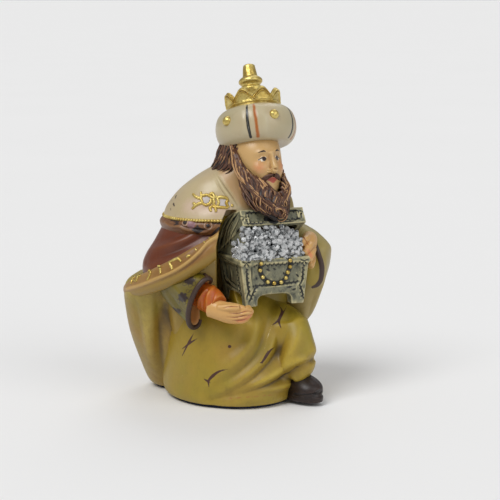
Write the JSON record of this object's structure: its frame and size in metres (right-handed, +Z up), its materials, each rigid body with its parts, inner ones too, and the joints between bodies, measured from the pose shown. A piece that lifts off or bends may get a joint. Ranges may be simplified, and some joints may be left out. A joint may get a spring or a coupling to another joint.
{
  "type": "nativity wise man figurine",
  "caption": "Painted resin figurine of a crowned, bearded wise man kneeling on one knee and holding an open treasure chest of clear chips.",
  "frame": {"origin": "on the underside of the pad, below the middle of the robe", "axes": "+Z up along the figure's height; -Y towards the side that shows the chest's front, with the kneeling man facing between -Y and +X"},
  "size_m": [0.067, 0.0549, 0.1077],
  "materials": {
    "painted_resin": "hand painted, satin, with a dark wash in the hollows",
    "clear_chip": "clear, faceted",
    "felt": "dark blue felt"
  },
  "bodies": {
    "root": {"casting": "painted_resin", "crystal_chips": "clear_chip", "felt_pad": "felt"}
  },
  "joints": []
}
